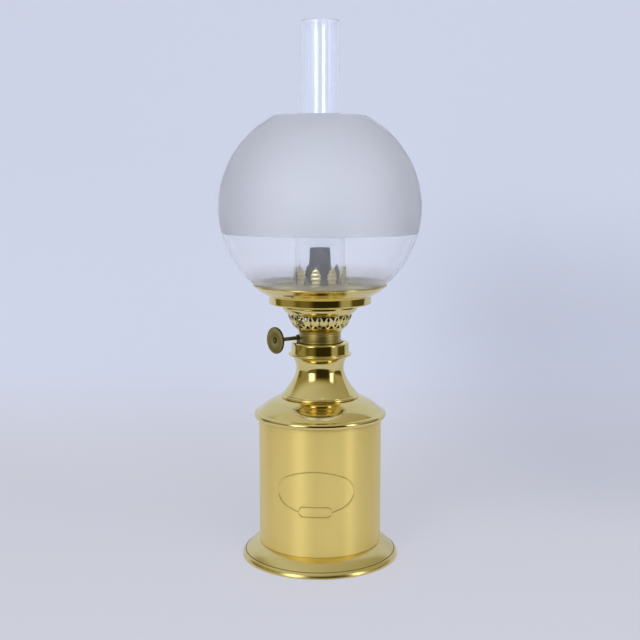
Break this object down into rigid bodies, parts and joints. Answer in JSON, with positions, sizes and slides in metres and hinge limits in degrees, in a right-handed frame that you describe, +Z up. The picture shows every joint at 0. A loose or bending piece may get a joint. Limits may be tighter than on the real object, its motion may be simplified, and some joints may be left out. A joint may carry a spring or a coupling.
{
  "type": "kerosene table lamp",
  "caption": "Brass table lamp with a cylindrical oil font, round-wick burner with side knob, glass chimney and a part-frosted ball globe.",
  "frame": {"origin": "on the lamp's axis, in the plane that the foot stands on", "axes": "+Z up along the lamp's axis, -Y towards the front with the raised oval, the knob at the front left (-X, -Y)"},
  "size_m": [0.1362, 0.1362, 0.3619],
  "materials": {
    "polished_brass": "polished, lacquered",
    "satin_brass": "satin, lacquered",
    "pale_brass": "stamped sheet",
    "aged_brass": "aged, dull",
    "black_steel": "blackened",
    "grey_metal": "heat-dulled",
    "fibre": "dark fibre",
    "wick_cotton": "woven cotton",
    "frosted_glass": "frosted above, clear below",
    "clear_glass": "clear"
  },
  "bodies": {
    "font": {"foot": "polished_brass", "tank_bottom": "aged_brass", "tank_wall": "satin_brass", "shoulder": "polished_brass", "neck": "polished_brass", "collar": "polished_brass"},
    "washer": {"collar_washer": "fibre"},
    "burner": {"burner_base": "aged_brass", "burner_plate": "aged_brass", "wick_tube": "grey_metal", "air_tube": "grey_metal", "spindle_gland": "aged_brass", "spindle_bearing": "aged_brass", "basket": "pale_brass", "gallery_cup": "polished_brass", "globe_holder": "polished_brass", "chimney_crown": "pale_brass"},
    "raiser": {"spindle": "black_steel", "spindle_collar": "aged_brass", "star_wheels": "aged_brass", "wick_knob": "aged_brass"},
    "wick": {"wick": "wick_cotton"},
    "globe": {"globe": "frosted_glass"},
    "chimney": {"chimney": "clear_glass"}
  },
  "joints": [
    {"name": "burner_rise", "type": "slide", "parent": "font", "child": "washer", "axis": [0, 0, 1], "range_m": [0, 0.0045]},
    {"name": "burner_turn", "type": "hinge", "parent": "washer", "child": "burner", "pos_m": [0, 0, 0.1489], "axis": [0, 0, 1], "range_deg": [0, 1080]},
    {"name": "knob_turn", "type": "hinge", "parent": "burner", "child": "raiser", "pos_m": [-0.00613, 0.00731, 0.1516], "axis": [-0.766, -0.6428, 0], "range_deg": [-180, 110]},
    {"name": "wick_slide", "type": "slide", "parent": "burner", "child": "wick", "axis": [0, 0, 1], "range_m": [-0.0098, 0.006]},
    {"name": "globe_lift", "type": "slide", "parent": "burner", "child": "globe", "axis": [0, 0, 1], "range_m": [0, 0.19]},
    {"name": "chimney_lift", "type": "slide", "parent": "burner", "child": "chimney", "axis": [0, 0, 1], "range_m": [0, 0.13]}
  ],
  "couplings": [
    {"joint": "burner_rise", "follows": "burner_turn", "m_per_rad": 0.00023873},
    {"joint": "wick_slide", "follows": "knob_turn", "m_per_rad": 0.0031}
  ]
}
